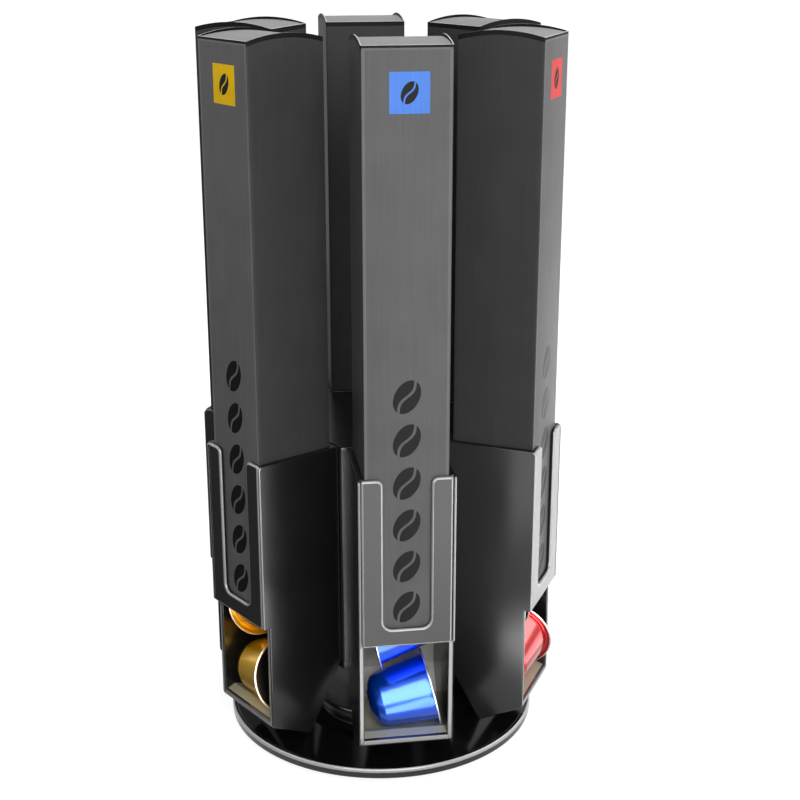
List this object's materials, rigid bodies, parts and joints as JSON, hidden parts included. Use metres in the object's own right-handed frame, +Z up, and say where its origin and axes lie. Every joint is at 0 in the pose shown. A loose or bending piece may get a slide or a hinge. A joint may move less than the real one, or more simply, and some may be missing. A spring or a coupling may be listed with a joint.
{
  "type": "coffee capsule dispenser",
  "caption": "Turntable with tall carton sleeves of coffee capsules in open chutes round a column; each chute drops its lowest capsule into a cradle behind a low lip.",
  "frame": {"origin": "centre of the underside, on the table, on the axis of rotation", "axes": "+Z up along the axis of rotation; chute 1 faces -Y"},
  "size_m": [0.166, 0.1686, 0.3354],
  "materials": {
    "base_plastic": "high gloss",
    "chute_plastic": "satin gloss",
    "cover_plastic": "satin",
    "rubber": "matte",
    "steel": "zinc plated",
    "ball_steel": "polished",
    "nylon": "natural",
    "carton": "matte printed",
    "capsule_blue": "anodised",
    "capsule_red": "anodised",
    "capsule_green": "anodised",
    "capsule_violet": "anodised",
    "capsule_copper": "anodised",
    "capsule_gold": "anodised"
  },
  "bodies": {
    "base": {"base_plate": "base_plastic", "foot_1": "rubber", "foot_2": "rubber", "foot_3": "rubber", "foot_4": "rubber", "pivot_bolt": "steel", "lower_race": "steel", "thrust_washer": "nylon", "lock_nut": "steel"},
    "ball_ring": {"ball_cage": "nylon", "ball_1": "ball_steel", "ball_2": "ball_steel", "ball_3": "ball_steel", "ball_4": "ball_steel", "ball_5": "ball_steel", "ball_6": "ball_steel", "ball_7": "ball_steel", "ball_8": "ball_steel"},
    "carousel": {"upper_race": "steel", "hub": "chute_plastic", "column": "chute_plastic", "column_cap": "chute_plastic", "chute_1": "chute_plastic", "chute_screw_1": "steel", "front_cover_1": "cover_plastic", "chute_2": "chute_plastic", "chute_screw_2": "steel", "front_cover_2": "cover_plastic", "chute_3": "chute_plastic", "chute_screw_3": "steel", "front_cover_3": "cover_plastic", "chute_4": "chute_plastic", "chute_screw_4": "steel", "front_cover_4": "cover_plastic", "chute_5": "chute_plastic", "chute_screw_5": "steel", "front_cover_5": "cover_plastic", "chute_6": "chute_plastic", "chute_screw_6": "steel", "front_cover_6": "cover_plastic"},
    "sleeve_1": {"sleeve_1": "carton", "next_capsule_1": "capsule_blue"},
    "capsule_1": {"capsule_1": "capsule_blue"},
    "sleeve_2": {"sleeve_2": "carton", "next_capsule_2": "capsule_red"},
    "capsule_2": {"capsule_2": "capsule_red"},
    "sleeve_3": {"sleeve_3": "carton", "next_capsule_3": "capsule_green"},
    "capsule_3": {"capsule_3": "capsule_green"},
    "sleeve_4": {"sleeve_4": "carton", "next_capsule_4": "capsule_violet"},
    "capsule_4": {"capsule_4": "capsule_violet"},
    "sleeve_5": {"sleeve_5": "carton", "next_capsule_5": "capsule_copper"},
    "capsule_5": {"capsule_5": "capsule_copper"},
    "sleeve_6": {"sleeve_6": "carton", "next_capsule_6": "capsule_gold"},
    "capsule_6": {"capsule_6": "capsule_gold"}
  },
  "joints": [
    {"name": "carousel_turn", "type": "hinge", "parent": "base", "child": "carousel", "pos_m": [0, 0, 0.0133], "axis": [0, 0, 1], "continuous": true},
    {"name": "ball_ring_turn", "type": "hinge", "parent": "base", "child": "ball_ring", "pos_m": [0, 0, 0.0097], "axis": [0, 0, 1], "continuous": true},
    {"name": "sleeve_lift_1", "type": "slide", "parent": "carousel", "child": "sleeve_1", "axis": [0, 0, 1], "range_m": [0, 0.105]},
    {"name": "capsule_tip_1", "type": "hinge", "parent": "carousel", "child": "capsule_1", "pos_m": [0, -0.0776, 0.0267], "axis": [1, 0, 0], "range_deg": [0, 95]},
    {"name": "sleeve_lift_2", "type": "slide", "parent": "carousel", "child": "sleeve_2", "axis": [0, 0, 1], "range_m": [0, 0.105]},
    {"name": "capsule_tip_2", "type": "hinge", "parent": "carousel", "child": "capsule_2", "pos_m": [0.0672, -0.0388, 0.0267], "axis": [0.5, 0.866, 0], "range_deg": [0, 95]},
    {"name": "sleeve_lift_3", "type": "slide", "parent": "carousel", "child": "sleeve_3", "axis": [0, 0, 1], "range_m": [0, 0.105]},
    {"name": "capsule_tip_3", "type": "hinge", "parent": "carousel", "child": "capsule_3", "pos_m": [0.0672, 0.0388, 0.0267], "axis": [-0.5, 0.866, 0], "range_deg": [0, 95]},
    {"name": "sleeve_lift_4", "type": "slide", "parent": "carousel", "child": "sleeve_4", "axis": [0, 0, 1], "range_m": [0, 0.105]},
    {"name": "capsule_tip_4", "type": "hinge", "parent": "carousel", "child": "capsule_4", "pos_m": [0, 0.0776, 0.0267], "axis": [-1, 0, 0], "range_deg": [0, 95]},
    {"name": "sleeve_lift_5", "type": "slide", "parent": "carousel", "child": "sleeve_5", "axis": [0, 0, 1], "range_m": [0, 0.105]},
    {"name": "capsule_tip_5", "type": "hinge", "parent": "carousel", "child": "capsule_5", "pos_m": [-0.0672, 0.0388, 0.0267], "axis": [-0.5, -0.866, 0], "range_deg": [0, 95]},
    {"name": "sleeve_lift_6", "type": "slide", "parent": "carousel", "child": "sleeve_6", "axis": [0, 0, 1], "range_m": [0, 0.105]},
    {"name": "capsule_tip_6", "type": "hinge", "parent": "carousel", "child": "capsule_6", "pos_m": [-0.0672, -0.0388, 0.0267], "axis": [0.5, -0.866, 0], "range_deg": [0, 95]}
  ],
  "couplings": [
    {"joint": "ball_ring_turn", "follows": "carousel_turn", "ratio": 0.5}
  ]
}
